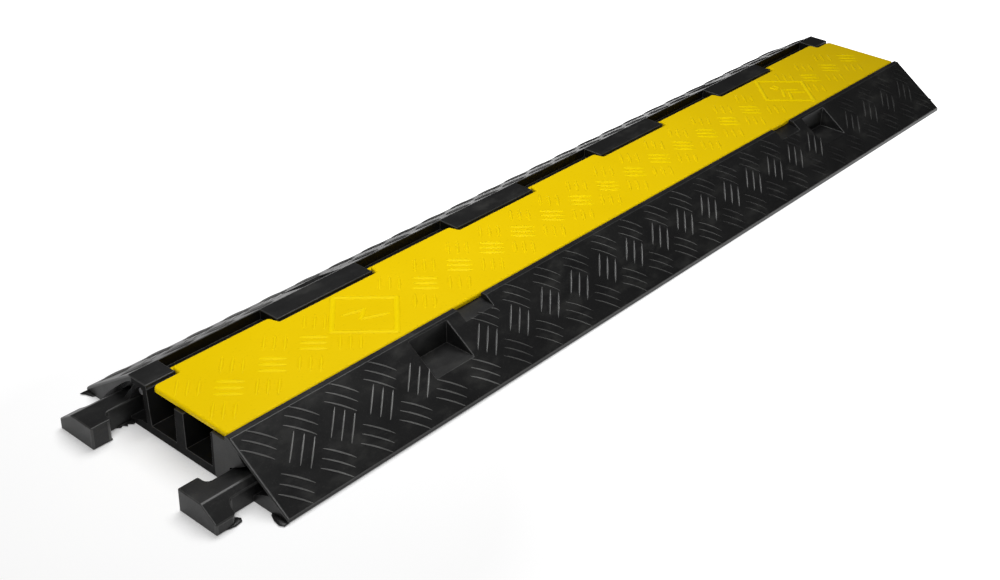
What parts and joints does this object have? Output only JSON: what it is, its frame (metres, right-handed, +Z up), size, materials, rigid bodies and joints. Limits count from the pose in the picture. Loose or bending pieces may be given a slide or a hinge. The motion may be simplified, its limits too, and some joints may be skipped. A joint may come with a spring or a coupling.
{
  "type": "cable protector ramp",
  "caption": "Low black rubber ramp with cable channels under a full-length hinged yellow lid, T-shaped lugs at one end and matching sockets at the other.",
  "frame": {"origin": "on the underside, midway between the end faces of the body (the lugs stand out beyond -X) and midway across its width", "axes": "+X along the ramp towards the socket end, +Y across it towards the hinge, +Z up"},
  "size_m": [1.0415, 0.232, 0.0433],
  "materials": {
    "black_rubber": "moulded, satin",
    "yellow_plastic": "moulded, satin",
    "rod_steel": "drawn bar"
  },
  "bodies": {
    "base": {"rubber_base": "black_rubber", "hinge_rod": "rod_steel"},
    "lid": {"hinged_lid": "yellow_plastic"}
  },
  "joints": [
    {"name": "lid_hinge", "type": "hinge", "parent": "base", "child": "lid", "pos_m": [0, 0.0458, 0.0325], "axis": [-1, 0, 0], "range_deg": [0, 90]}
  ]
}
